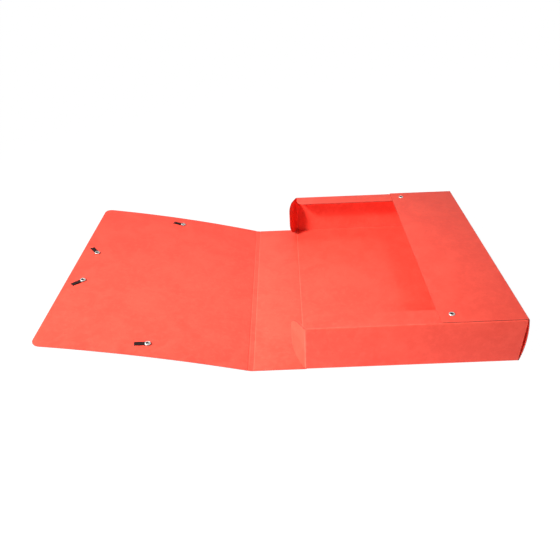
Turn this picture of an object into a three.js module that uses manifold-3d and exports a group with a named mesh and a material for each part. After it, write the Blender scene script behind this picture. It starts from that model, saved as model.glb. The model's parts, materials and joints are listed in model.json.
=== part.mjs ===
// Elastic box file of glossy pressboard, lying open with its cover thrown back.
// Millimetres, +Z up. The origin is the centre of the tray's base, on its underside.
// -X is the spine side, +X the fore edge, +Y the head and -Y the tail of the file.
import * as THREE from 'three';
import { mergeVertices } from 'three/addons/utils/BufferGeometryUtils.js';
import Module from 'manifold-3d';

const wasm = await Module();
wasm.setup();

// Card and folds
const CARD = 0.7;
const FOLD_RADIUS = 0.5;
const LAYER_GAP = 0.3;
const CREASE_GAP = 0.3;
const JOIN_OVERLAP = 0.1;
const TRIM = 1;
const SCORE_WIDTH = 0.9;
const SCORE_DEPTH = 0.3;

// Tray
const TRAY_WIDTH = 248.5;
const TRAY_LENGTH = 330;
const WALL_HEIGHT = 60;
const STRIP_WIDTH = 25;
const STRIP_CORNER = 10;
const FLAP_WIDTH = 97;
const FORE_WALL_BOW = 3;
const CORNER_SLIT = 0.8;
const FLAP_INSET = 0.5;

// Spine panel, between the crease at the base and the double crease at the cover, and front cover.
// The spine is wide enough to carry the closed cover clear of the flap and its eyelets.
const COVER_ROOM = 2;
const DOUBLE_CREASE = 6;
const COVER_SETBACK = 1.5;
const COVER_CORNER = 10;
const COVER_LIFT_ANGLE = 15.5;
const COVER_BOW_ANGLE = 7;

// Ear flaps on the spine-side ends of the head and tail walls
const EAR_WIDTH = 28;
const EAR_CORNER = 13;
const EAR_TAPER_HEIGHT = 26;
const EAR_FOOT = 3;
const EAR_BOTTOM = 3;
const EAR_TOP_DROP = 0.7;
const TAIL_EAR_ANGLE = 58;
const HEAD_EAR_ANGLE = 66;

// Eyelets
const EYELET_RADIUS = 4;
const EYELET_BORE = 1.6;
const EYELET_WALL = 0.3;
const EYELET_RIM = 0.75;
const EYELET_CLINCH_RADIUS = 3.4;
const EYELET_CLINCH_RIM = 0.5;
const EYELET_CLEARANCE = 0.3;
const FLAP_EYELET_INSET = 15;

// Elastic bands and their places on the cover
const BAND_WIDTH = 4.6;
const BAND_THICKNESS = 0.9;
const BAND_HEAD_RADIUS = 3.3;
const SLIT_LENGTH = 6;
const SLIT_WIDTH = 1.7;
const SIDE_EYELET_ALONG = 122;
const SIDE_EYELET_INSET = 21;
const SIDE_TAIL_REACH = 13.5;
const SIDE_TAIL_SWING = 2.5;
const EDGE_EYELET_INSET = 20;
const EDGE_EYELET_OFFSET = 34;
const EDGE_TAIL_REACH = 10;
const EDGE_TAIL_SWING = 12;

const RIGHT_ANGLE = 90;
const FOLD_STEPS = 6;
const BOW_STEPS = 16;
const ROUND_STEPS = 24;
const CORNER_STEPS = 8;

const FLAP_TOP = WALL_HEIGHT + LAYER_GAP + CARD;
const SPINE_WIDTH = FLAP_TOP + COVER_ROOM;
const COVER_WIDTH = TRAY_WIDTH - COVER_SETBACK;
const SPINE_CREASE_X = -TRAY_WIDTH / 2;
const COVER_CREASE_X = SPINE_CREASE_X - SPINE_WIDTH;
const BEND_RADIUS = FOLD_RADIUS + CARD / 2;
const FOLD_REACH = FOLD_RADIUS + CARD;
const EAR_HINGE_X = SPINE_CREASE_X + LAYER_GAP + CARD;
const EAR_HINGE_Y = TRAY_LENGTH / 2 - CARD;
const COVER_BOW_RADIUS = COVER_WIDTH / THREE.MathUtils.degToRad(COVER_BOW_ANGLE);

const coral = new THREE.MeshStandardMaterial({ color: 0xf75b49, roughness: 0.38, metalness: 0 });
const steel = new THREE.MeshStandardMaterial({ color: 0xd4d3cf, roughness: 0.28, metalness: 1 });
const black = new THREE.MeshStandardMaterial({ color: 0x17161a, roughness: 0.85, metalness: 0 });

// Solids

function solidOf(geometry) {
  const bare = geometry.index ? geometry.toNonIndexed() : geometry.clone();
  bare.deleteAttribute('normal');
  bare.deleteAttribute('uv');
  const merged = mergeVertices(bare, 1e-5);
  const mesh = new wasm.Mesh({
    numProp: 3,
    vertProperties: new Float32Array(merged.attributes.position.array),
    triVerts: new Uint32Array(merged.index.array),
  });
  return new wasm.Manifold(mesh);
}

function geometryOf(solid) {
  const mesh = solid.getMesh();
  const geometry = new THREE.BufferGeometry();
  geometry.setAttribute('position', new THREE.BufferAttribute(new Float32Array(mesh.vertProperties), 3));
  geometry.setIndex(new THREE.BufferAttribute(new Uint32Array(mesh.triVerts), 1));
  return geometry;
}

// A prism of a plan outline, standing from one height to another.
function prism(shape, bottom, top) {
  const geometry = new THREE.ExtrudeGeometry(shape, {
    depth: top - bottom,
    bevelEnabled: false,
    curveSegments: CORNER_STEPS,
  });
  return geometry.translate(0, 0, bottom);
}

function rectangle(x0, y0, x1, y1) {
  const shape = new THREE.Shape();
  shape.moveTo(x0, y0);
  shape.lineTo(x1, y0);
  shape.lineTo(x1, y1);
  shape.lineTo(x0, y1);
  shape.closePath();
  return shape;
}

// Folded card

// The outline of a folded strip of card seen end on. The path follows the middle of the card:
// it starts at a point and heading (degrees), and each step is a straight run or an arc that
// turns by an angle over a run. Positive turns are to the left.
function foldedSection(start, heading, steps) {
  const left = [];
  const right = [];
  const place = new THREE.Vector2(start[0], start[1]);
  let angle = THREE.MathUtils.degToRad(heading);

  function mark() {
    const side = new THREE.Vector2(-Math.sin(angle), Math.cos(angle)).multiplyScalar(CARD / 2);
    left.push(place.clone().add(side));
    right.push(place.clone().sub(side));
  }

  mark();
  for (const step of steps) {
    const pieces = step.turn ? step.pieces : 1;
    const turn = THREE.MathUtils.degToRad(step.turn ?? 0) / pieces;
    const chord = step.turn
      ? (2 * Math.sin(Math.abs(turn) / 2) * step.run) / (pieces * Math.abs(turn))
      : step.run;
    for (let i = 0; i < pieces; i += 1) {
      angle += turn / 2;
      place.x += chord * Math.cos(angle);
      place.y += chord * Math.sin(angle);
      angle += turn / 2;
      mark();
    }
  }
  return new THREE.Shape([...left, ...right.reverse()]);
}

function fold(turn) {
  const run = BEND_RADIUS * THREE.MathUtils.degToRad(Math.abs(turn));
  return { turn, run, pieces: FOLD_STEPS };
}

// A section drawn in X and Z, carried along Y.
function alongY(shape, y0, y1) {
  const geometry = new THREE.ExtrudeGeometry(shape, { depth: y1 - y0, bevelEnabled: false });
  return geometry.rotateX(Math.PI / 2).translate(0, y1, 0);
}

// A section drawn in Y and Z, carried along X.
function alongX(shape, x0, x1) {
  const geometry = new THREE.ExtrudeGeometry(shape, { depth: x1 - x0, bevelEnabled: false });
  return geometry.rotateX(Math.PI / 2).rotateZ(Math.PI / 2).translate(x0, 0, 0);
}

// A V-shaped score line in the upper face of a flat panel, along Y.
function scoreLine(x) {
  const reach = TRAY_LENGTH / 2 + TRIM;
  const groove = new THREE.Shape([
    new THREE.Vector2(x - SCORE_WIDTH, CARD + SCORE_DEPTH),
    new THREE.Vector2(x, CARD - SCORE_DEPTH),
    new THREE.Vector2(x + SCORE_WIDTH, CARD + SCORE_DEPTH),
  ]);
  return alongY(groove, -reach, reach);
}

// Tray: base, head and tail walls with their strips, fore-edge wall with its wide flap

const WALL_START_X = EAR_HINGE_X + CREASE_GAP / 2;
const WALL_END_X = TRAY_WIDTH / 2 - CARD - CORNER_SLIT;
const FLAP_EYELET_X = TRAY_WIDTH / 2 - FLAP_WIDTH + FLAP_EYELET_INSET;
const FLAP_EYELET_Y = TRAY_LENGTH / 2 - FLAP_EYELET_INSET;
const EYELET_BARREL = EYELET_BORE + EYELET_WALL;
const EYELET_HOLE = EYELET_BARREL + EYELET_CLEARANCE;

function sideWallSection() {
  const half = TRAY_LENGTH / 2;
  const wall = WALL_HEIGHT - 2 * FOLD_REACH;
  const strip = STRIP_WIDTH + TRIM - FOLD_REACH;
  return foldedSection([-half + STRIP_WIDTH + TRIM, WALL_HEIGHT - CARD / 2], 180, [
    { run: strip },
    fold(RIGHT_ANGLE),
    { run: wall },
    fold(RIGHT_ANGLE),
    { run: TRAY_LENGTH - 2 * FOLD_REACH },
    fold(RIGHT_ANGLE),
    { run: wall },
    fold(RIGHT_ANGLE),
    { run: strip },
  ]);
}

// The fore wall bows outward, so it leans out at the base crease and back in at the flap crease.
function foreWallSection() {
  const upright = FLAP_TOP - 2 * FOLD_REACH;
  const bend = 2 * Math.atan((2 * FORE_WALL_BOW) / upright);
  const lean = THREE.MathUtils.radToDeg(bend);
  const chord = upright + 2 * BEND_RADIUS * Math.sin(bend);
  const start = WALL_END_X - JOIN_OVERLAP;
  return foldedSection([start, CARD / 2], 0, [
    { run: TRAY_WIDTH / 2 - FOLD_REACH - start },
    fold(RIGHT_ANGLE - lean),
    { run: (chord * bend) / Math.sin(bend), turn: 2 * lean, pieces: BOW_STEPS },
    fold(RIGHT_ANGLE - lean),
    { run: FLAP_WIDTH - FOLD_REACH },
  ]);
}

// The open top between the strips, with its corners flared round at the spine side.
function windowShape(x0, x1) {
  const y = TRAY_LENGTH / 2 - STRIP_WIDTH;
  const r = STRIP_CORNER;
  const shape = new THREE.Shape();
  shape.moveTo(x0 - r, -y - r);
  shape.lineTo(x0, -y - r);
  shape.absarc(x0 + r, -y - r, r, Math.PI, Math.PI / 2, true);
  shape.lineTo(x1, -y);
  shape.lineTo(x1, y);
  shape.lineTo(x0 + r, y);
  shape.absarc(x0 + r, y + r, r, -Math.PI / 2, -Math.PI, true);
  shape.lineTo(x0 - r, y + r);
  shape.closePath();
  return shape;
}

function makeTray() {
  const sides = solidOf(alongX(sideWallSection(), WALL_START_X, WALL_END_X));
  const flapReach = TRAY_LENGTH / 2 - FLAP_INSET;
  const fore = solidOf(alongY(foreWallSection(), -flapReach, flapReach));
  const baseEdge = SPINE_CREASE_X + CREASE_GAP / 2;
  const baseReach = TRAY_LENGTH / 2 - CARD / 2;
  const lip = rectangle(baseEdge, -baseReach, WALL_START_X + JOIN_OVERLAP, baseReach);
  const window = windowShape(WALL_START_X, WALL_END_X + TRIM);
  let tray = sides.subtract(solidOf(prism(window, WALL_HEIGHT / 2, WALL_HEIGHT + TRIM)));
  tray = tray.add(solidOf(prism(lip, 0, CARD))).add(fore);
  for (const end of [-1, 1]) {
    const hole = new THREE.CylinderGeometry(EYELET_HOLE, EYELET_HOLE, WALL_HEIGHT, ROUND_STEPS);
    hole.rotateX(Math.PI / 2).translate(FLAP_EYELET_X, end * FLAP_EYELET_Y, WALL_HEIGHT);
    tray = tray.subtract(solidOf(hole));
  }
  return tray;
}

// Spine panel

function makeSpinePanel() {
  const half = TRAY_LENGTH / 2;
  const plan = rectangle(COVER_CREASE_X + CREASE_GAP / 2, -half, SPINE_CREASE_X - CREASE_GAP / 2, half);
  const score = scoreLine(COVER_CREASE_X + DOUBLE_CREASE / 2);
  return solidOf(prism(plan, 0, CARD)).subtract(solidOf(score));
}

// Front cover

// Everything on the cover is drawn on a flat card, with x = 0 at the crease, the cover towards -x
// and z = 0 on its inner face. This lays it on the lifted and bowed cover.
function layOnCover(geometry) {
  const lift = THREE.MathUtils.degToRad(COVER_LIFT_ANGLE);
  const position = geometry.attributes.position;
  for (let i = 0; i < position.count; i += 1) {
    const along = -position.getX(i);
    const slope = lift - along / COVER_BOW_RADIUS;
    const reach = COVER_BOW_RADIUS * (Math.sin(lift) - Math.sin(slope));
    const rise = COVER_BOW_RADIUS * (Math.cos(slope) - Math.cos(lift));
    const above = position.getZ(i);
    position.setXYZ(
      i,
      COVER_CREASE_X - reach + above * Math.sin(slope),
      position.getY(i),
      CARD + rise + above * Math.cos(slope),
    );
  }
  geometry.deleteAttribute('normal');
  return geometry;
}

// An eyelet and the slit that its band's tail reaches, nearer the free edge and the corner.
function fixing(along, across, reach, swing, end) {
  return {
    eyelet: [-along, end * across],
    slit: [-along - reach, end * (across + swing)],
  };
}

function bandFixings(end) {
  const sideAcross = TRAY_LENGTH / 2 - SIDE_EYELET_INSET;
  const edgeAlong = COVER_WIDTH - EDGE_EYELET_INSET;
  return {
    side: fixing(SIDE_EYELET_ALONG, sideAcross, SIDE_TAIL_REACH, SIDE_TAIL_SWING, end),
    edge: fixing(edgeAlong, EDGE_EYELET_OFFSET, EDGE_TAIL_REACH, EDGE_TAIL_SWING, end),
  };
}

const ENDS = { tail: -1, head: 1 };
const BANDS = { tail: bandFixings(ENDS.tail), head: bandFixings(ENDS.head) };

// A bar of a given width from one point of the plan to another.
function bar(from, to, width) {
  const a = new THREE.Vector2(...from);
  const b = new THREE.Vector2(...to);
  const angle = b.clone().sub(a).angle();
  const side = new THREE.Vector2(-Math.sin(angle), Math.cos(angle)).multiplyScalar(width / 2);
  return new THREE.Shape([
    a.clone().sub(side),
    b.clone().sub(side),
    b.clone().add(side),
    a.clone().add(side),
  ]);
}

// A short bar across a slit, as thick as given along the line from its eyelet.
function acrossSlit({ eyelet, slit }, thickness, width) {
  const centre = new THREE.Vector2(...slit);
  const direction = centre.clone().sub(new THREE.Vector2(...eyelet)).normalize();
  const from = centre.clone().addScaledVector(direction, -thickness / 2);
  const to = centre.clone().addScaledVector(direction, thickness / 2);
  return bar(from.toArray(), to.toArray(), width);
}

function disc(centre, radius) {
  return new THREE.Shape().absarc(centre[0], centre[1], radius, 0, 2 * Math.PI, false);
}

function cornerCutter(end) {
  const r = COVER_CORNER;
  const x = -COVER_WIDTH;
  const y = (end * TRAY_LENGTH) / 2;
  const past = 1;
  const shape = new THREE.Shape();
  shape.moveTo(x - past, y - end * r);
  shape.lineTo(x, y - end * r);
  shape.absarc(x + r, y - end * r, r, Math.PI, (end * Math.PI) / 2, end > 0);
  shape.lineTo(x + r, y + end * past);
  shape.lineTo(x - past, y + end * past);
  shape.closePath();
  return shape;
}

function makeCover() {
  const half = TRAY_LENGTH / 2;
  const lift = THREE.MathUtils.degToRad(COVER_LIFT_ANGLE);
  const start = [
    COVER_CREASE_X - (CARD / 2) * Math.sin(lift) - (CREASE_GAP / 2) * Math.cos(lift),
    CARD - (CARD / 2) * Math.cos(lift) + (CREASE_GAP / 2) * Math.sin(lift),
  ];
  const section = foldedSection(start, 180 - COVER_LIFT_ANGLE, [
    { run: COVER_WIDTH - CREASE_GAP / 2, turn: COVER_BOW_ANGLE, pieces: BOW_STEPS },
  ]);
  const cutters = [scoreLine(-DOUBLE_CREASE / 2).translate(0, 0, -CARD)];
  for (const name of Object.keys(ENDS)) {
    const shapes = [cornerCutter(ENDS[name])];
    for (const place of Object.values(BANDS[name])) {
      shapes.push(disc(place.eyelet, EYELET_HOLE), acrossSlit(place, SLIT_WIDTH, SLIT_LENGTH));
    }
    cutters.push(...shapes.map((shape) => prism(shape, -CARD - TRIM, TRIM)));
  }
  return cutters
    .map((cutter) => solidOf(layOnCover(cutter)))
    .reduce((cover, cutter) => cover.subtract(cutter), solidOf(alongY(section, -half, half)));
}

// Ear flaps

// Drawn with x from the hinge to the free edge and y up the wall.
function earShape() {
  const top = WALL_HEIGHT - EAR_TOP_DROP;
  const shape = new THREE.Shape();
  shape.moveTo(CREASE_GAP / 2, EAR_BOTTOM);
  shape.lineTo(EAR_FOOT, EAR_BOTTOM);
  const rise = EAR_TAPER_HEIGHT - EAR_BOTTOM;
  shape.absellipse(EAR_FOOT, EAR_TAPER_HEIGHT, EAR_WIDTH - EAR_FOOT, rise, -Math.PI / 2, 0, false, 0);
  shape.lineTo(EAR_WIDTH, top - EAR_CORNER);
  shape.absarc(EAR_WIDTH - EAR_CORNER, top - EAR_CORNER, EAR_CORNER, 0, Math.PI / 2, false);
  shape.lineTo(CREASE_GAP / 2, top);
  shape.closePath();
  return shape;
}

// An ear is hinged on the inner face of its wall and folded from the wall's plane towards the tray.
function makeEar(end, foldAngle) {
  const outerFace = end < 0 ? CARD : 0;
  const geometry = prism(earShape(), 0, CARD).rotateX(Math.PI / 2).translate(0, outerFace, 0);
  const ear = new THREE.Mesh(geometry, coral);
  ear.position.set(EAR_HINGE_X, end * EAR_HINGE_Y, 0);
  ear.rotation.z = THREE.MathUtils.degToRad(180 + end * foldAngle);
  return ear;
}

// Eyelets

// Half an ellipse of a rolled rim, from its outer edge to the bore or back.
function rimPoints(outer, z, height, startAngle) {
  const middle = (EYELET_BORE + outer) / 2;
  const half = (outer - EYELET_BORE) / 2;
  const points = [];
  for (let i = 0; i <= CORNER_STEPS; i += 1) {
    const angle = startAngle + (Math.PI * i) / CORNER_STEPS;
    points.push(new THREE.Vector2(middle + half * Math.cos(angle), z + height * Math.sin(angle)));
  }
  return points;
}

// A tubular eyelet through layers of card: a rolled rim over the top layer, a tube, and a smaller
// clinched rim under the bottom one.
function makeEyelet(bottom, top) {
  const low = bottom - EYELET_CLEARANCE;
  const high = top + EYELET_CLEARANCE;
  const foot = new THREE.Vector2(EYELET_BARREL, low);
  const profile = [
    foot,
    new THREE.Vector2(EYELET_BARREL, high),
    ...rimPoints(EYELET_RADIUS, high, EYELET_RIM, 0),
    ...rimPoints(EYELET_CLINCH_RADIUS, low, EYELET_CLINCH_RIM, Math.PI),
    foot.clone(),
  ];
  return new THREE.LatheGeometry(profile, ROUND_STEPS).rotateX(Math.PI / 2);
}

function makeCoverEyelet({ eyelet }) {
  const geometry = makeEyelet(-CARD, LAYER_GAP + BAND_THICKNESS);
  return layOnCover(geometry.translate(eyelet[0], eyelet[1], 0));
}

function makeFlapEyelet(end) {
  return makeEyelet(WALL_HEIGHT - CARD, FLAP_TOP).translate(FLAP_EYELET_X, end * FLAP_EYELET_Y, 0);
}

// Elastic bands

// One band: a tail under each eyelet on the inner face, a pass through each slit, and the long
// stretch that crosses the cover's corner on the outer face.
function makeBand({ side, edge }) {
  const inner = LAYER_GAP;
  const outer = -CARD - LAYER_GAP;
  const parts = [];
  for (const place of [side, edge]) {
    parts.push(prism(bar(place.eyelet, place.slit, BAND_WIDTH), inner, inner + BAND_THICKNESS));
    parts.push(prism(disc(place.eyelet, BAND_HEAD_RADIUS), inner, inner + BAND_THICKNESS));
    const pass = acrossSlit(place, BAND_THICKNESS, BAND_WIDTH);
    parts.push(prism(pass, outer - BAND_THICKNESS, inner + BAND_THICKNESS));
  }
  parts.push(prism(bar(side.slit, edge.slit, BAND_WIDTH), outer - BAND_THICKNESS, outer));
  const holes = [side, edge].map((place) => {
    return prism(disc(place.eyelet, EYELET_HOLE), inner - TRIM, inner + BAND_THICKNESS + TRIM);
  });
  const whole = parts.map(solidOf).reduce((band, part) => band.add(part));
  const pierced = holes.map(solidOf).reduce((band, hole) => band.subtract(hole), whole);
  return layOnCover(geometryOf(pierced));
}

// Assembly

const boxFile = new THREE.Group();

function add(name, geometry, material) {
  const mesh = new THREE.Mesh(geometry, material);
  mesh.name = name;
  boxFile.add(mesh);
}

add('tray', geometryOf(makeTray()), coral);
add('spine_panel', geometryOf(makeSpinePanel()), coral);
add('front_cover', geometryOf(makeCover()), coral);

for (const [name, end] of Object.entries(ENDS)) {
  const ear = makeEar(end, end < 0 ? TAIL_EAR_ANGLE : HEAD_EAR_ANGLE);
  ear.name = `ear_${name}`;
  boxFile.add(ear);
  add(`flap_eyelet_${name}`, makeFlapEyelet(end), steel);
  add(`cover_eyelet_${name}`, makeCoverEyelet(BANDS[name].side), steel);
  add(`cover_edge_eyelet_${name}`, makeCoverEyelet(BANDS[name].edge), steel);
  add(`elastic_${name}`, makeBand(BANDS[name]), black);
}

export default boxFile;
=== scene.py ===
"""An elastic box file of glossy pressboard, lying open with its cover thrown back.

Metres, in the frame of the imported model: +X is the fore edge, +Y the head, +Z up.
"""
import json
import math

import bmesh
import bpy
from mathutils import Matrix, Vector


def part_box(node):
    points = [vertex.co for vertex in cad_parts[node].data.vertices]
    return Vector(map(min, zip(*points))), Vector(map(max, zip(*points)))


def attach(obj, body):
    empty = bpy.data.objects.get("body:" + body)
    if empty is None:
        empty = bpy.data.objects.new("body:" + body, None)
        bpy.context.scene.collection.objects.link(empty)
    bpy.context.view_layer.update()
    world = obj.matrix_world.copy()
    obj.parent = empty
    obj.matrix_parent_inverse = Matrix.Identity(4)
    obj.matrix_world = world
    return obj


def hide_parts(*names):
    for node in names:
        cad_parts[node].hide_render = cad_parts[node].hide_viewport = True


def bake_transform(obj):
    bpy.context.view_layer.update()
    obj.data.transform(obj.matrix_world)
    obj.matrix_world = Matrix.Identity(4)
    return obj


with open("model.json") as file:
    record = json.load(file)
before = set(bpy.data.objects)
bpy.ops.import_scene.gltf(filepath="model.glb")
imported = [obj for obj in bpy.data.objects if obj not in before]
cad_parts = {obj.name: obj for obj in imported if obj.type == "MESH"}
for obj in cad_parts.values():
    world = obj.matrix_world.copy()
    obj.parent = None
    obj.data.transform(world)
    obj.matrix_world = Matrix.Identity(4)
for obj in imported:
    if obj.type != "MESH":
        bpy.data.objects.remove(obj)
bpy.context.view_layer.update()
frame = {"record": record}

JOINTS = {joint["name"]: joint for joint in frame["record"]["behaviour"]["joints"]}
SPINE_CREASE = Vector(JOINTS["spine_fold"]["pos_m"])
COVER_CREASE = Vector(JOINTS["cover_fold"]["pos_m"])
TRAY_HIGH = Vector(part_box("tray")[1])
ENDS = {"tail": -1, "head": 1}
SQUARE = math.pi / 2

# Card and folds
CARD = 0.0007
BEND_RADIUS = 0.00085
FOLD_REACH = BEND_RADIUS + CARD / 2
FOLD_STEPS = 6
CREASE_WIDTH = 0.0012
CREASE_DEPTH = 0.00032
CREASE_REACH = 0.0018
CREASE_STEPS = 10

# Tray
HALF_LENGTH = TRAY_HIGH.y
WALL_HEIGHT = 0.060
FLAP_TOP = TRAY_HIGH.z
FORE_CREASE_X = -SPINE_CREASE.x
FORE_WALL_BOW = 0.003
FLAP_WIDTH = 0.097
FLAP_INSET = 0.0005
STRIP_WIDTH = 0.025
STRIP_CORNER = 0.010
STRIP_CORNER_STEPS = 12
WALL_START_X = -0.1223
WALL_END_X = 0.12275
BOW_STEPS = 16

# Cover. Fine cross lines let its fold bend, and wider ones its bow.
DOUBLE_CREASE = 0.006
COVER_WIDTH = 0.247
COVER_CORNER = 0.010
COVER_CORNER_STEPS = 14
COVER_LIFT = math.radians(15.5)
COVER_BOW = math.radians(7)
COVER_BOW_RADIUS = COVER_WIDTH / COVER_BOW
COVER_FOLD_REACH = 0.003
COVER_FINE_LINES = 15
COVER_STRIP = 0.008

# Ear flaps, drawn from the hinge to the free edge
EAR_WIDTH = 0.028
EAR_CORNER = 0.013
EAR_TAPER_HEIGHT = 0.026
EAR_FOOT = 0.003
EAR_BOTTOM = 0.0009
EAR_TOP = 0.0593
EAR_HINGE_GAP = 0.0003
EAR_FOLD = {"tail": math.radians(58), "head": math.radians(66)}
EAR_BEND_RADIUS = 0.0018
EAR_COLUMNS = 28
EAR_ROWS = 12

# Eyelets
EYELET_RADIUS = 0.0036
EYELET_BORE = 0.0016
EYELET_WALL = 0.0003
EYELET_RIM = 0.00095
CLINCH_RADIUS = 0.0031
CLINCH_RIM = 0.0005
EYELET_HOLE = 0.0022
# Faces of an eyelet inside this radius take a darker nickel: painted shade in the deep bore
BORE_SHADE_RADIUS = EYELET_BORE * 1.25
FLAP_EYELET = Vector((0.04225, 0.150, 0))
RIM_STEPS = 10
SPIN_STEPS = 56

# Elastic bands, on the flat cover
BAND_WIDTH = 0.0054
BAND_THICKNESS = 0.0009
BAND_HEAD_RADIUS = 0.0031
BAND_RIDGES = 4
BAND_RIDGE_HEIGHT = 0.00011
BAND_ROWS = 24
TAIL_STEPS = 8
CROSSING_STEPS = 24
SLIT_LENGTH = 0.0060
SLIT_WIDTH = 0.0011
SIDE_EYELET_ALONG = 0.122
SIDE_EYELET_ACROSS = 0.144
SIDE_TAIL = Vector((0.0147, 0.0027))
EDGE_EYELET_ALONG = 0.227
EDGE_EYELET_ACROSS = 0.034
EDGE_TAIL = Vector((0.010, 0.012))

# Modelling. NEAR is how close to a line a vertex counts as on it, and WELD closes a spun ring.
SMOOTH_ANGLE = math.radians(32)
BAND_SMOOTH_ANGLE = math.radians(60)
NEAR = CARD / 10
WELD = 0.000002
CUTTER_SIDES = 48
COVER_CUTTER_DEPTH = 0.004
FLAP_CUTTER_DEPTH = 0.012

# Colours
CORAL_DEEP = (0.83, 0.070, 0.044, 1)
CORAL = (0.90, 0.086, 0.054, 1)
CORAL_PALE = (0.95, 0.108, 0.070, 1)
# Paler coral along the folds: part rub, part painted highlight of the rounded folds
CORAL_RUB_HIGHLIGHT = (0.98, 0.130, 0.085, 1)
# The cut edge's colours: much darker than the board's faces, which draws a dark line along each cut
# edge
CUT_EDGE_DEEP = (0.25, 0.040, 0.033, 1)
CUT_EDGE_PALE = (0.40, 0.070, 0.057, 1)
PLATE = (0.66, 0.64, 0.61, 1)
PLATE_DULL = (0.46, 0.44, 0.42, 1)
# Darker nickel for the inside of the bore: painted shade of the deep hole
BORE_SHADE = (0.16, 0.155, 0.15, 1)
BORE_SHADE_DULL = (0.07, 0.068, 0.065, 1)
# The elastic's near-black is tinted red: painted bounce light from the coral board
RIB_DEEP = (0.016, 0.007, 0.007, 1)
RIB_PALE = (0.036, 0.014, 0.013, 1)
LINT = (0.080, 0.045, 0.042, 1)

# Patterns: the scale, detail, roughness and distortion of their noise
CLOUDS = (26, 5, 0.62, 0.8)
MOTTLE = (150, 6, 0.65, 0.3)
SPECKS = (290, 2, 0.5, 0)
FIBRES = (1500, 4, 0.7, 0)
PLATE_PATCHES = (700, 4, 0.6, 0)
LINT_FLECKS = (2600, 3, 0.6, 0)
PULP_LAYERS = (900, 4, 0.7, 0)

# Ribs of the elastic
RIB_SCALE = 3.2
RIB_WAVER = 0.4
RIB_DETAIL = 2

# The values of a pattern between which it passes from one look to the next
CLOUD_BAND = (0.34, 0.66)
PALE_BAND = (0.42, 0.72)
SPECK_BAND = (0.60, 0.72)
UNEVEN_BAND = (0.25, 0.75)
EVEN_BAND = (0.3, 0.7)
DULL_BAND = (0.35, 0.7)
RIB_BAND = (0.2, 0.9)
LINT_BAND = (0.6, 0.8)

# How strongly the patterns show in the colour, and in the height of the board
PALE_SHARE = 0.55
SPECK_SHARE = 0.8
LINT_SHARE = 0.5
MOTTLE_HEIGHT = 0.6
FIBRE_HEIGHT = 0.4

# The strength and depth of each finish's relief
BOARD_RELIEF = (0.16, 0.0004)
PLATE_RELIEF = (0.08, 0.0002)
RIB_RELIEF = (0.6, 0.0003)
PULP_RELIEF = (0.3, 0.0002)

# Roughness, in a pair where it follows the pattern, and the specular level
BOARD_ROUGHNESS = (0.36, 0.48)
PLATE_ROUGHNESS = (0.42, 0.60)
ELASTIC_ROUGHNESS = 0.9
CUT_EDGE_ROUGHNESS = 0.85
BOARD_SPECULAR = 0.22
ELASTIC_SPECULAR = 0.15
CUT_EDGE_SPECULAR = 0.2

# How far the paler band of a fold reaches to each side of it. The band is part rub and part painted
# highlight
RUB_HIGHLIGHT_BASE_CREASE = 0.0016
RUB_HIGHLIGHT_DOUBLE_CREASE = 0.0013
RUB_HIGHLIGHT_FLAP_FOLD = 0.0024
RUB_HIGHLIGHT_STRIP_FOLD = 0.0020
RUB_HIGHLIGHT_CORNER = 0.0026
RUB_HIGHLIGHT_CORNER_X = -WALL_START_X + 0.0012


# Finishes

def fill(tree, node, inputs):
    """Fills a node's inputs with values or with other nodes' outputs."""
    for name, value in inputs.items():
        socket = node.inputs[name]
        if isinstance(value, bpy.types.NodeSocket):
            tree.links.new(value, socket)
        else:
            socket.default_value = value


def put(tree, kind, inputs=None, **settings):
    """Adds a node, sets it and fills its inputs."""
    node = tree.nodes.new(kind)
    for name, value in settings.items():
        setattr(node, name, value)
    fill(tree, node, inputs or {})
    return node


def start_finish(name):
    """A new material with its node tree, its shader, and the place on the object."""
    finish = bpy.data.materials.new(name)
    finish.use_nodes = True
    tree = finish.node_tree
    place = put(tree, "ShaderNodeTexCoord").outputs["Object"]
    return finish, tree, tree.nodes["Principled BSDF"], place


def mix_colour(tree, factor, first, second):
    """Mixes two colours, on the inputs and the output of the node that are for colours."""
    inputs = {0: factor, 6: first, 7: second}
    return put(tree, "ShaderNodeMix", inputs, data_type="RGBA").outputs[2]


def noise(tree, place, scale, detail, roughness, distortion):
    return put(tree, "ShaderNodeTexNoise", {
        "Vector": place, "Scale": scale, "Detail": detail,
        "Roughness": roughness, "Distortion": distortion,
    }).outputs["Fac"]


def spread(tree, value, low, high, to_low=0.0, to_high=1.0):
    """Takes the values from low to high smoothly to those from to_low to to_high."""
    return put(tree, "ShaderNodeMapRange", {
        "Value": value, "From Min": low, "From Max": high, "To Min": to_low, "To Max": to_high,
    }, interpolation_type="SMOOTHSTEP").outputs["Result"]


def combine(tree, operation, first, second):
    return put(tree, "ShaderNodeMath", {0: first, 1: second}, operation=operation).outputs[0]


def relief(tree, strength, distance, height):
    inputs = {"Strength": strength, "Distance": distance, "Height": height}
    return put(tree, "ShaderNodeBump", inputs).outputs["Normal"]


def near_line(tree, place, keep, line, reach):
    """1 on a fold's line and 0 away from it. keep leaves out the direction that the fold runs in."""
    across = put(tree, "ShaderNodeVectorMath", {0: place, 1: keep}, operation="MULTIPLY").outputs[0]
    away = put(tree, "ShaderNodeVectorMath", {0: across, 1: line}, operation="DISTANCE")
    return spread(tree, away.outputs["Value"], reach, 0)


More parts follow.
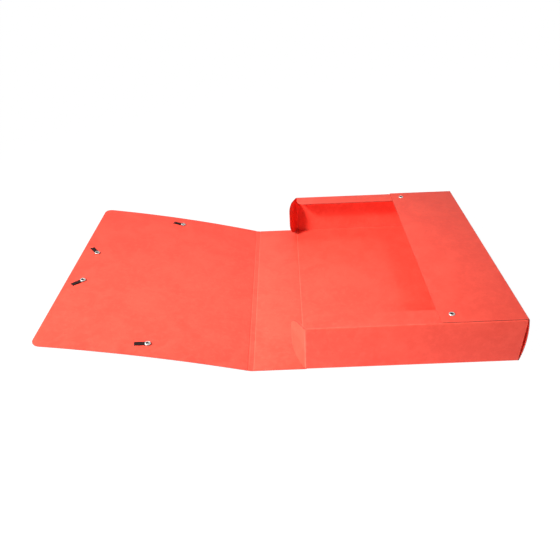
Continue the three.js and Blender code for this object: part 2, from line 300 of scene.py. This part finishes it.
def near_folds(tree, place):
    """1 on every fold of the card and 0 away from them."""
    mirrored = put(tree, "ShaderNodeVectorMath", {0: place}, operation="ABSOLUTE").outputs[0]
    score_x = COVER_CREASE.x + DOUBLE_CREASE / 2
    along_y, along_x, along_z = (1, 0, 1), (0, 1, 1), (1, 1, 0)
    rub_highlight_mask = 0.0
    for source, keep, line, reach in (
        (place, along_y, (SPINE_CREASE.x, 0, CARD), RUB_HIGHLIGHT_BASE_CREASE),
        (place, along_y, (score_x, 0, CARD), RUB_HIGHLIGHT_DOUBLE_CREASE),
        (place, along_y, (score_x - DOUBLE_CREASE, 0, 2 * CARD), RUB_HIGHLIGHT_DOUBLE_CREASE),
        (place, along_y, (FORE_CREASE_X, 0, FLAP_TOP), RUB_HIGHLIGHT_FLAP_FOLD),
        (mirrored, along_x, (0, HALF_LENGTH, WALL_HEIGHT), RUB_HIGHLIGHT_STRIP_FOLD),
        (mirrored, along_z, (RUB_HIGHLIGHT_CORNER_X, HALF_LENGTH, 0), RUB_HIGHLIGHT_CORNER),
    ):
        rub_highlight_mask = combine(tree, "MAXIMUM", near_line(tree, source, keep, line, reach), rub_highlight_mask)
    return rub_highlight_mask


def make_pressboard():
    """Glossy coral board: clouds of colour, small darker specks, and paler folds that are part rub and
    part painted highlight.
    """
    finish, tree, shader, place = start_finish("pressboard_coral")
    clouds = noise(tree, place, *CLOUDS)
    mottle = noise(tree, place, *MOTTLE)
    specks = noise(tree, place, *SPECKS)
    fibres = noise(tree, place, *FIBRES)
    colour = mix_colour(tree, spread(tree, clouds, *CLOUD_BAND), CORAL_DEEP, CORAL)
    paler = combine(tree, "MULTIPLY", spread(tree, mottle, *PALE_BAND), PALE_SHARE)
    colour = mix_colour(tree, paler, colour, CORAL_PALE)
    speck = combine(tree, "MULTIPLY", spread(tree, specks, *SPECK_BAND), SPECK_SHARE)
    colour = mix_colour(tree, speck, colour, CORAL_DEEP)
    # The paler band along the folds: part rub, part painted highlight
    uneven = spread(tree, mottle, *UNEVEN_BAND, *UNEVEN_BAND)
    rub_highlight_share = combine(tree, "MULTIPLY", near_folds(tree, place), uneven)
    colour = mix_colour(tree, rub_highlight_share, colour, CORAL_RUB_HIGHLIGHT)
    height = combine(tree, "ADD", combine(tree, "MULTIPLY", mottle, MOTTLE_HEIGHT),
                     combine(tree, "MULTIPLY", fibres, FIBRE_HEIGHT))
    fill(tree, shader, {
        "Base Color": colour,
        "Roughness": spread(tree, mottle, *EVEN_BAND, *BOARD_ROUGHNESS),
        "Specular IOR Level": BOARD_SPECULAR,
        "Normal": relief(tree, *BOARD_RELIEF, height),
    })
    return finish


def make_eyelet_metal(name, bright, dulled):
    """Nickel plate with a few dull patches."""
    finish, tree, shader, place = start_finish(name)
    dull = noise(tree, place, *PLATE_PATCHES)
    fill(tree, shader, {
        "Base Color": mix_colour(tree, spread(tree, dull, *DULL_BAND), bright, dulled),
        "Roughness": spread(tree, dull, *EVEN_BAND, *PLATE_ROUGHNESS),
        "Metallic": 1,
        "Normal": relief(tree, *PLATE_RELIEF, dull),
    })
    return finish


def make_elastic_weave():
    """Black elastic, tinted red by painted bounce light from the coral board: ribs across the band
    between its cords, and a little lint.
    """
    finish, tree, shader, place = start_finish("elastic_weave")
    along = put(tree, "ShaderNodeTexCoord").outputs["UV"]
    ribs = put(tree, "ShaderNodeTexWave", {
        "Vector": along, "Scale": RIB_SCALE, "Distortion": RIB_WAVER, "Detail": RIB_DETAIL,
    }, wave_type="BANDS", bands_direction="X").outputs["Fac"]
    lint = spread(tree, noise(tree, place, *LINT_FLECKS), *LINT_BAND)
    colour = mix_colour(tree, spread(tree, ribs, *RIB_BAND), RIB_DEEP, RIB_PALE)
    fill(tree, shader, {
        "Base Color": mix_colour(tree, combine(tree, "MULTIPLY", lint, LINT_SHARE), colour, LINT),
        "Roughness": ELASTIC_ROUGHNESS,
        "Specular IOR Level": ELASTIC_SPECULAR,
        "Normal": relief(tree, *RIB_RELIEF, ribs),
    })
    return finish


def make_cut_edge():
    """The cut edge of the board: duller and much darker than its faces, with the layers of the pulp.
    """
    finish, tree, shader, place = start_finish("pressboard_cut_edge")
    pulp = noise(tree, place, *PULP_LAYERS)
    fill(tree, shader, {
        "Base Color": mix_colour(tree, spread(tree, pulp, *EVEN_BAND), CUT_EDGE_DEEP, CUT_EDGE_PALE),
        "Roughness": CUT_EDGE_ROUGHNESS,
        "Specular IOR Level": CUT_EDGE_SPECULAR,
        "Normal": relief(tree, *PULP_RELIEF, pulp),
    })
    return finish


PRESSBOARD = make_pressboard()
CUT_EDGE = make_cut_edge()
NICKEL = make_eyelet_metal("eyelet_nickel", PLATE, PLATE_DULL)
# The bore's finish is a darker nickel: painted shade of the deep hole
BORE_SHADE_NICKEL = make_eyelet_metal("eyelet_bore_shade", BORE_SHADE, BORE_SHADE_DULL)
ELASTIC = make_elastic_weave()


def give(piece, slot, *finishes):
    for finish in finishes:
        piece.data.materials.append(finish)


# Modelling by hand: a primitive, shaped in edit mode

def start_piece(name, add, stretch=(1, 1, 1), **settings):
    """Adds a primitive at its size and place, and gives it its name."""
    bpy.ops.object.select_all(action="DESELECT")
    add(**settings)
    piece = bpy.context.object
    piece.name = name
    piece.data.name = name
    piece.scale = stretch
    bpy.ops.object.transform_apply(location=True, rotation=True, scale=True)
    return piece


def select(*pieces):
    """Selects these pieces alone and makes the first one active."""
    bpy.ops.object.select_all(action="DESELECT")
    for piece in pieces:
        piece.select_set(True)
    bpy.context.view_layer.objects.active = pieces[0]


def edit(piece, mode):
    """Opens the piece for work on its vertices or edges, with none picked."""
    select(piece)
    bpy.ops.object.mode_set(mode="EDIT")
    bpy.ops.mesh.select_mode(type=mode)
    bpy.ops.mesh.select_all(action="DESELECT")


def pick(piece, wanted):
    """Picks the edges, or the vertices, whose every end passes the test."""
    bpy.ops.mesh.select_all(action="DESELECT")
    mesh = bmesh.from_edit_mesh(piece.data)
    by_edge = mesh.select_mode == {"EDGE"}
    for part in mesh.edges if by_edge else mesh.verts:
        ends = part.verts if by_edge else [part]
        part.select_set(all(wanted(end.co) for end in ends))
    bmesh.update_edit_mesh(piece.data)


def draw_out(points):
    """Extrudes the picked edges from point to point."""
    for here, there in zip(points, points[1:]):
        bpy.ops.mesh.extrude_edges_move(TRANSFORM_OT_translate={"value": tuple(there - here)})


def round_off(radius, steps):
    """Rounds the picked corners of a sheet."""
    bpy.ops.mesh.bevel(
        offset=radius, offset_type="OFFSET", segments=steps, affect="VERTICES", profile=0.5,
    )


def face_outward():
    """Turns the faces of the piece outward and ends the work on it."""
    bpy.ops.mesh.select_all(action="SELECT")
    bpy.ops.mesh.normals_make_consistent(inside=False)
    bpy.ops.object.mode_set(mode="OBJECT")


def modify(piece, kind, **settings):
    """Adds a modifier to the piece, sets it and applies it."""
    select(piece)
    modifier = piece.modifiers.new(kind, kind)
    for name, value in settings.items():
        setattr(modifier, name, value)
    bpy.ops.object.modifier_apply(modifier=modifier.name)


def thicken(piece):
    """Gives a sheet the thickness of the card. Its cut edges take the second finish."""
    give(piece, "pressboard", PRESSBOARD, CUT_EDGE)
    modify(piece, "SOLIDIFY", thickness=CARD, offset=0, use_even_offset=True, material_offset_rim=1)


def join(name, pieces):
    select(*pieces)
    bpy.ops.object.join()
    pieces[0].name = name
    pieces[0].data.name = name
    return pieces[0]


def cut(piece, cutters):
    """Cuts the cutters out of the piece and throws them away."""
    cutter = join("cutter", cutters)
    modify(piece, "BOOLEAN", operation="DIFFERENCE", solver="EXACT", object=cutter)
    bpy.data.objects.remove(cutter)


def smooth(piece, angle=SMOOTH_ANGLE):
    select(piece)
    bpy.ops.object.shade_smooth_by_angle(angle=angle)


def set_place(piece, place):
    piece.data.transform(Matrix.Translation(place))


def hole_cutter(depth, place):
    return start_piece(
        "bore", bpy.ops.mesh.primitive_cylinder_add, vertices=CUTTER_SIDES, radius=EYELET_HOLE,
        depth=depth, location=place,
    )


def slit_cutter(eyelet, slit):
    """A slit lies square to the run of the band from its eyelet."""
    run = (slit - eyelet).normalized()
    return start_piece(
        "slit", bpy.ops.mesh.primitive_cube_add, size=1, location=slit,
        rotation=(0, 0, math.atan2(run.y, run.x)),
        stretch=(SLIT_WIDTH, SLIT_LENGTH, COVER_CUTTER_DEPTH),
    )


# Folded card

def walk(start, heading, steps):
    """Points along the middle of a folded card seen end on, from a start and a heading.

    Each step is a length, a turn and the number of chords that share them."""
    place = Vector(start)
    angle = heading
    points = [place.copy()]
    for length, turn, chords in steps:
        bend = turn / chords
        chord = length / chords
        if bend:
            chord *= math.sin(abs(bend) / 2) / (abs(bend) / 2)
        for _ in range(chords):
            angle += bend / 2
            place = place + chord * Vector((math.cos(angle), math.sin(angle)))
            angle += bend / 2
            points.append(place)
    return points


def fold(turn, radius=BEND_RADIUS):
    """A step of walk that turns at a radius."""
    return (radius * abs(turn), turn, FOLD_STEPS)


def side_wall(end):
    """Up from the base and over into the narrow strip, for the tail or the head."""
    upright = WALL_HEIGHT - 2 * FOLD_REACH
    section = walk((0, 0), 0, [
        fold(SQUARE), (upright, 0, 1), fold(SQUARE), (STRIP_WIDTH - FOLD_REACH, 0, 1),
    ])
    return [Vector((0, end * out, up)) for out, up in section]


def fore_wall():
    """Up the wall at the fore edge, which leans out, bows and leans in, and over into the flap."""
    upright = FLAP_TOP - 2 * FOLD_REACH
    lean = 2 * math.atan(2 * FORE_WALL_BOW / upright)
    chord = upright + 2 * BEND_RADIUS * math.sin(lean)
    turn = SQUARE - lean
    section = walk((WALL_END_X, 0), 0, [
        (FORE_CREASE_X - FOLD_REACH - WALL_END_X, 0, 1),
        fold(turn),
        (chord * lean / math.sin(lean), 2 * lean, BOW_STEPS),
        fold(turn),
        (FLAP_WIDTH - FOLD_REACH, 0, 1),
    ])
    return [Vector((out, 0, up)) for out, up in section]


def press_crease(piece, x, top):
    """Presses a shallow crease into the upper face of a flat panel, along Y."""
    for vertex in piece.data.vertices:
        beside = abs(vertex.co.x - x) / CREASE_WIDTH
        if beside < 1 and abs(vertex.co.z - top) < CARD / 4:
            vertex.co.z -= CREASE_DEPTH * math.cos(beside * SQUARE) ** 2


def make_tray_card():
    """The base with its walls, strips and wide flap, and the spine as far as its crease."""
    base_reach = HALF_LENGTH - FOLD_REACH
    middle = (WALL_START_X + WALL_END_X) / 2
    tray = start_piece(
        "tray_card", bpy.ops.mesh.primitive_plane_add, size=1, location=(middle, 0, CARD / 2),
        stretch=(WALL_END_X - WALL_START_X, 2 * base_reach, 1),
    )

    def pick_base_edge(x):
        pick(tray, lambda co: abs(co.x - x) < NEAR and abs(co.z - CARD / 2) < NEAR
             and abs(co.y) < base_reach + NEAR)

    def draw_out_wider(points, reach):
        """Draws the picked edge out, and widens it after the first step."""
        draw_out(points[:2])
        bpy.ops.transform.resize(value=(1, reach / base_reach, 1))
        draw_out(points[1:])

    edit(tray, "EDGE")
    for end in ENDS.values():
        pick(tray, lambda co: abs(co.y - end * base_reach) < NEAR and co.z < CARD)
        draw_out(side_wall(end))
    pick_base_edge(WALL_END_X)
    draw_out_wider(fore_wall(), HALF_LENGTH - FLAP_INSET)

    crease_end = COVER_CREASE.x + DOUBLE_CREASE / 2
    crease_start = SPINE_CREASE.x + CREASE_REACH
    steps = [crease_start - 2 * CREASE_REACH * i / CREASE_STEPS for i in range(CREASE_STEPS + 1)]
    shoulder = [crease_end + CREASE_WIDTH, crease_end + CREASE_WIDTH / 2, crease_end]
    pick_base_edge(WALL_START_X)
    draw_out_wider([Vector((x, 0, 0)) for x in [WALL_START_X, *steps, *shoulder]], HALF_LENGTH)

    bpy.ops.mesh.select_mode(type="VERT")
    strip_edge = HALF_LENGTH - STRIP_WIDTH
    pick(tray, lambda co: abs(co.x - WALL_START_X) < NEAR and co.z > WALL_HEIGHT / 2
         and abs(abs(co.y) - strip_edge) < NEAR)
    round_off(STRIP_CORNER, STRIP_CORNER_STEPS)
    face_outward()
    thicken(tray)
    cut(tray, [
        hole_cutter(FLAP_CUTTER_DEPTH, (FLAP_EYELET.x, end * FLAP_EYELET.y, FLAP_TOP))
        for end in ENDS.values()
    ])
    press_crease(tray, SPINE_CREASE.x, CARD)
    press_crease(tray, crease_end, CARD)
    smooth(tray)
    return tray


# The cover is made flat, with x = 0 at its crease and z = 0 on its inner face, and then laid on
# its lifted and bowed place.

def lay_on_cover(piece):
    """Bends a piece of the flat cover: level at first, then up round the fold, then along the bow."""
    corner_radius = COVER_FOLD_REACH / math.tan(COVER_LIFT / 2)
    for vertex in piece.data.vertices:
        along, above = -vertex.co.x, vertex.co.z
        if along <= -COVER_FOLD_REACH:
            slope, reach, rise = 0, along, 0
        elif along < COVER_FOLD_REACH:
            slope = COVER_LIFT * (along + COVER_FOLD_REACH) / (2 * COVER_FOLD_REACH)
            reach = corner_radius * math.sin(slope) - COVER_FOLD_REACH
            rise = corner_radius * (1 - math.cos(slope))
        else:
            slope = COVER_LIFT - along / COVER_BOW_RADIUS
            reach = COVER_BOW_RADIUS * (math.sin(COVER_LIFT) - math.sin(slope))
            rise = COVER_BOW_RADIUS * (math.cos(slope) - math.cos(COVER_LIFT))
        vertex.co.x = COVER_CREASE.x - reach + above * math.sin(slope)
        vertex.co.z = COVER_CREASE.z + rise + above * math.cos(slope)


def fixings(end):
    """Where the eyelets and slits of one band are on the flat cover: the side and the free edge."""
    places = []
    for along, across, tail in (
        (SIDE_EYELET_ALONG, SIDE_EYELET_ACROSS, SIDE_TAIL),
        (EDGE_EYELET_ALONG, EDGE_EYELET_ACROSS, EDGE_TAIL),
    ):
        eyelet = Vector((-along, end * across, 0))
        slit = Vector((-along - tail.x, end * (across + tail.y), 0))
        places.append((eyelet, slit))
    return places


def make_cover_card():
    """The cover with its half of the double crease, its round corners, holes and slits."""
    start = DOUBLE_CREASE / 2
    cover = start_piece(
        "cover_card", bpy.ops.mesh.primitive_plane_add, size=1,
        location=((start - COVER_WIDTH) / 2, 0, -CARD / 2),
        stretch=(COVER_WIDTH + start, 2 * HALF_LENGTH, 1),
    )
    edit(cover, "VERT")
    pick(cover, lambda co: co.x < -COVER_WIDTH / 2)
    round_off(COVER_CORNER, COVER_CORNER_STEPS)
    lines = [start - CREASE_WIDTH / 2 * i for i in range(1, COVER_FINE_LINES + 1)]
    strips = int((COVER_WIDTH + lines[-1]) / COVER_STRIP)
    lines += [lines[-1] - COVER_STRIP * i for i in range(1, strips + 1)]
    for x in lines:
        bpy.ops.mesh.select_all(action="SELECT")
        bpy.ops.mesh.bisect(plane_co=(x, 0, 0), plane_no=(1, 0, 0))
    bpy.ops.object.mode_set(mode="OBJECT")
    thicken(cover)
    cutters = []
    for end in ENDS.values():
        for eyelet, slit in fixings(end):
            cutters.append(hole_cutter(COVER_CUTTER_DEPTH, eyelet))
            cutters.append(slit_cutter(eyelet, slit))
    cut(cover, cutters)
    press_crease(cover, start, 0)
    press_crease(cover, -start, 0)
    lay_on_cover(cover)
    smooth(cover)
    return cover


# Ear flaps

def ear_heights(out):
    """The lower and upper edge of the ear at a distance from its hinge."""
    low, high = EAR_BOTTOM, EAR_TOP
    if out > EAR_FOOT:
        share = min(1, (out - EAR_FOOT) / (EAR_WIDTH - EAR_FOOT))
        low = EAR_TAPER_HEIGHT - (EAR_TAPER_HEIGHT - EAR_BOTTOM) * math.sqrt(1 - share ** 2)
    past = out - (EAR_WIDTH - EAR_CORNER)
    if past > 0:
        high = EAR_TOP - EAR_CORNER + math.sqrt(max(0, EAR_CORNER ** 2 - past ** 2))
    return low, high


def make_ear(name):
    """An ear with the rounded fold that joins it to the end of its wall, and the fold's two ends."""
    end = ENDS[name]
    turn = EAR_FOLD[name]
    hinge = Vector((SPINE_CREASE.x + CARD + EAR_HINGE_GAP, end * (HALF_LENGTH - CARD), 0))
    corner = hinge + Vector((-CARD / 2 * math.tan(turn / 2), end * CARD / 2, 0))
    tangent = EAR_BEND_RADIUS * math.tan(turn / 2)
    arc_start = (corner.x + tangent, end * corner.y)
    flat_start = CARD / 2 * math.tan(turn / 2) + tangent
    section = walk(arc_start, math.pi, [fold(turn, EAR_BEND_RADIUS)])
    heading = math.pi + turn
    columns = [(place, 0) for place in section]
    for i in range(1, EAR_COLUMNS + 1):
        out = flat_start + (EAR_WIDTH - flat_start) * math.sin(SQUARE * i / EAR_COLUMNS)
        step = out - flat_start
        place = section[-1] + step * Vector((math.cos(heading), math.sin(heading)))
        columns.append((place, out))
    ear = start_piece(
        f"{name}_ear_card", bpy.ops.mesh.primitive_grid_add, size=1,
        x_subdivisions=len(columns) - 1, y_subdivisions=EAR_ROWS,
    )
    for vertex in ear.data.vertices:
        place, out = columns[round((vertex.co.x + 0.5) * (len(columns) - 1))]
        low, high = ear_heights(out)
        vertex.co = (place.x, end * place.y, low + (high - low) * (vertex.co.y + 0.5))
    thicken(ear)
    edit(ear, "VERT")
    face_outward()
    smooth(ear)
    bend_ends = [(section[0].x, end * section[0].y, 0), (section[-1].x, end * section[-1].y, 0)]
    return ear, bend_ends


# Eyelets

def spin_section(name, section):
    """A ring of points takes the shape of a section in the XZ plane, which is spun round Z."""
    piece = start_piece(
        name, bpy.ops.mesh.primitive_circle_add, vertices=len(section), radius=EYELET_RADIUS,
    )
    for vertex, (radius, height) in zip(piece.data.vertices, section):
        vertex.co = (radius, 0, height)
    edit(piece, "VERT")
    bpy.ops.mesh.select_all(action="SELECT")
    bpy.ops.mesh.spin(steps=SPIN_STEPS, angle=2 * math.pi, center=(0, 0, 0), axis=(0, 0, 1))
    bpy.ops.mesh.select_all(action="SELECT")
    bpy.ops.mesh.remove_doubles(threshold=WELD)
    face_outward()
    return piece


def rolled_rim(outer, height, roll, start):
    """Half a turn of rim between the bore and its outer radius, from a starting angle."""
    middle = (EYELET_BORE + outer) / 2
    half = (outer - EYELET_BORE) / 2
    angles = [start + math.pi * i / RIM_STEPS for i in range(RIM_STEPS + 1)]
    return [(middle + half * math.cos(angle), height + roll * math.sin(angle)) for angle in angles]


def make_eyelet(name, bottom, top):
    """A rolled rim on the top layer, the tube, and the smaller rim clinched under the bottom layer."""
    barrel = EYELET_BORE + EYELET_WALL
    section = [(barrel, bottom), (barrel, top)]
    section += rolled_rim(EYELET_RADIUS, top, EYELET_RIM, 0)
    section += rolled_rim(CLINCH_RADIUS, bottom, CLINCH_RIM, math.pi)
    eyelet = spin_section(name, section)
    # The faces inside the bore take the second finish, a darker nickel that paints the shade of the
    # deep hole
    for face in eyelet.data.polygons:
        face.material_index = int(face.center.xy.length < BORE_SHADE_RADIUS)
    smooth(eyelet)
    return eyelet


# Elastic bands

def make_ribbon(origin, heading, section):
    """A ribbed ribbon whose middle follows a section, along a heading of the flat cover."""
    run = heading.normalized()
    side = Vector((-run.y, run.x, 0))
    columns = len(section) - 1
    ribbon = start_piece(
        "ribbon", bpy.ops.mesh.primitive_grid_add, size=1,
        x_subdivisions=columns, y_subdivisions=BAND_ROWS,
    )
    travelled = [0]
    for here, there in zip(section, section[1:]):
        travelled.append(travelled[-1] + (there - here).length)
    mesh = ribbon.data
    flat = {
        vertex.index: (round((vertex.co.x + 0.5) * columns), vertex.co.y)
        for vertex in mesh.vertices
    }
    for loop in mesh.loops:
        column, across = flat[loop.vertex_index]
        mesh.uv_layers.active.data[loop.index].uv = (travelled[column] / BAND_WIDTH, across)
    for vertex in mesh.vertices:
        column, across = flat[vertex.index]
        ridge = BAND_RIDGE_HEIGHT * abs(math.cos(across * math.pi * BAND_RIDGES)) - BAND_RIDGE_HEIGHT
        out, up = section[column]
        vertex.co = origin + run * out + side * (across * BAND_WIDTH) + Vector((0, 0, up + ridge))
    modify(ribbon, "SOLIDIFY", thickness=BAND_THICKNESS - BAND_RIDGE_HEIGHT, offset=-1)
    return ribbon


def make_band(name):
    """A tail and a head under each eyelet, and the long stretch across the corner of the cover."""
    bend = BAND_THICKNESS
    head_hole = EYELET_BORE + EYELET_WALL
    parts = []
    places = fixings(ENDS[name])
    for eyelet, slit in places:
        way = slit - eyelet
        run = way.length + BAND_THICKNESS / 2 - head_hole - bend
        section = walk((head_hole, BAND_THICKNESS), 0, [
            (run, 0, TAIL_STEPS), fold(-SQUARE, bend), (CARD, 0, 1),
        ])
        parts.append(make_ribbon(eyelet, way, section))
        ring = spin_section("ring", [
            (head_hole, 0), (BAND_HEAD_RADIUS, 0),
            (BAND_HEAD_RADIUS, BAND_THICKNESS), (head_hole, BAND_THICKNESS),
        ])
        set_place(ring, eyelet)
        parts.append(ring)
    start, finish = places[0][1], places[1][1]
    way = finish - start
    through_card = CARD / 2
    section = walk((0, -CARD / 2), -SQUARE, [
        (through_card, 0, 1),
        fold(SQUARE, bend / 2),
        (way.length - bend, 0, CROSSING_STEPS),
        fold(SQUARE, bend / 2),
        (through_card, 0, 1),
    ])
    parts.append(make_ribbon(start, way, section))
    band = join(f"{name}_elastic", parts)
    edit(band, "VERT")
    face_outward()
    lay_on_cover(band)
    smooth(band, BAND_SMOOTH_ANGLE)
    return band


# The pieces of the file

tray_card = make_tray_card()
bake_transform(tray_card)
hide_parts("tray", "spine_panel")

cover_card = make_cover_card()
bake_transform(cover_card)
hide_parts("front_cover")

for name, end in ENDS.items():
    ear, bend_ends = make_ear(name)
    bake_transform(ear)
    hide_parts(f"ear_{name}")

    band = make_band(name)
    give(band, "elastic_band", ELASTIC)
    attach(band, "cover")
    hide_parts(f"elastic_{name}")

    flap_eyelet = make_eyelet(f"{name}_flap_rivet", WALL_HEIGHT - CARD, FLAP_TOP)
    set_place(flap_eyelet, Vector((FLAP_EYELET.x, end * FLAP_EYELET.y, 0)))
    give(flap_eyelet, "eyelet_metal", NICKEL, BORE_SHADE_NICKEL)
    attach(flap_eyelet, "tray")
    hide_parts(f"flap_eyelet_{name}")

    for node, (place, _) in zip((f"cover_eyelet_{name}", f"cover_edge_eyelet_{name}"), fixings(end)):
        cover_eyelet = make_eyelet(f"{node}_rolled", -CARD, BAND_THICKNESS)
        set_place(cover_eyelet, place)
        lay_on_cover(cover_eyelet)
        give(cover_eyelet, "eyelet_metal", NICKEL, BORE_SHADE_NICKEL)
        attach(cover_eyelet, "cover")
        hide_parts(node)


# Floor, sky and lamps

WHITE = (1, 1, 1, 1)
FLOOR_SIZE = 12
FLOOR_DROP = 0.0003
FLOOR_GREY = (0.60, 0.60, 0.60, 1)
FLOOR_GLOW = 1.08
FLOOR_GLOW_SHARE = 0.92
SKY_MIRRORED = 0.6
SKY_AMBIENT = 0.17
SOFTBOX_SIZE = (0.30, 0.24)

# Each lamp's place, what it points at, its spread in degrees and its power
LAMPS = {
    "key": ((-1.21, -0.70, 1.25), (-0.28, -0.06, 0), 50, 3.7),
    "side": ((-0.43, -0.26, 0.55), (0.08, -0.08, 0.05), 60, 0.14),
    "low_side": ((-1.0, -0.62, 0.35), (-0.13, -0.15, 0.03), 40, 0.55),
    "back": ((0.25, 0.35, 1.10), (-0.30, -0.02, 0), 40, 0.28),
}


def make_floor():
    """A white ground that glows towards the camera and in reflections, and is matt to other light."""
    floor = start_piece(
        "floor", bpy.ops.mesh.primitive_plane_add, size=FLOOR_SIZE, location=(0, 0, -FLOOR_DROP),
    )
    paper = bpy.data.materials.new("white_ground")
    paper.use_nodes = True
    tree = paper.node_tree
    tree.nodes.clear()
    path = put(tree, "ShaderNodeLightPath").outputs
    seen = combine(tree, "MAXIMUM", path["Is Camera Ray"], path["Is Glossy Ray"])
    share = combine(tree, "MULTIPLY", seen, FLOOR_GLOW_SHARE)
    matt = put(tree, "ShaderNodeBsdfDiffuse", {"Color": FLOOR_GREY})
    glow = put(tree, "ShaderNodeEmission", {"Color": WHITE, "Strength": FLOOR_GLOW})
    inputs = {0: share, 1: matt.outputs[0], 2: glow.outputs[0]}
    mixed = put(tree, "ShaderNodeMixShader", inputs)
    put(tree, "ShaderNodeOutputMaterial", {"Surface": mixed.outputs[0]})
    floor.data.materials.append(paper)


def make_sky():
    """White to the camera, softer in reflections, and dim as a light."""
    world = bpy.data.worlds.new("studio")
    bpy.context.scene.world = world
    world.use_nodes = True
    tree = world.node_tree
    tree.nodes.clear()
    path = put(tree, "ShaderNodeLightPath").outputs
    mirrored = combine(tree, "MULTIPLY", path["Is Glossy Ray"], SKY_MIRRORED)
    unseen = combine(tree, "MAXIMUM", mirrored, SKY_AMBIENT)
    level = combine(tree, "MAXIMUM", unseen, path["Is Camera Ray"])
    sky = put(tree, "ShaderNodeBackground", {"Color": WHITE, "Strength": level})
    put(tree, "ShaderNodeOutputWorld", {"Surface": sky.outputs[0]})


def add_softbox(name, place, aim, spread_degrees, power):
    lamp = bpy.data.lights.new(name, "AREA")
    lamp.shape = "RECTANGLE"
    lamp.size, lamp.size_y = SOFTBOX_SIZE
    lamp.spread = math.radians(spread_degrees)
    lamp.energy = power
    holder = bpy.data.objects.new(name, lamp)
    bpy.context.scene.collection.objects.link(holder)
    holder.location = place
    holder.rotation_euler = (Vector(aim) - Vector(place)).to_track_quat("-Z", "Y").to_euler()


make_floor()
make_sky()
for name, setting in LAMPS.items():
    add_softbox(name, *setting)

# Camera: the picture's side, the focal length and the optical centre are in pixels
PICTURE = 560
FOCAL = 540.73
CENTRE = (291.44, 274.30)
CAMERA_PLACE = (-0.13609, -0.62469, 0.44091)
YAW, PITCH, ROLL = (math.radians(angle) for angle in (0.045, 33.806, -2.242))
SENSOR_MM = 36
NEAR_CLIP = 0.01


def add_camera():
    lens = bpy.data.cameras.new("camera")
    lens.sensor_width = SENSOR_MM
    lens.lens = SENSOR_MM * FOCAL / PICTURE
    lens.shift_x = (PICTURE / 2 - CENTRE[0]) / PICTURE
    lens.shift_y = (CENTRE[1] - PICTURE / 2) / PICTURE
    lens.clip_start = NEAR_CLIP
    forward = Vector((
        math.sin(YAW) * math.cos(PITCH), math.cos(YAW) * math.cos(PITCH), -math.sin(PITCH),
    ))
    level = Vector((math.cos(YAW), -math.sin(YAW), 0))
    upright = level.cross(forward)
    right = level * math.cos(ROLL) + upright * math.sin(ROLL)
    up = upright * math.cos(ROLL) - level * math.sin(ROLL)
    holder = bpy.data.objects.new("camera", lens)
    bpy.context.scene.collection.objects.link(holder)
    turn = Matrix((right, up, -forward)).transposed().to_4x4()
    holder.matrix_world = Matrix.Translation(CAMERA_PLACE) @ turn
    bpy.context.scene.camera = holder


add_camera()
bpy.context.scene.view_settings.view_transform = "Standard"
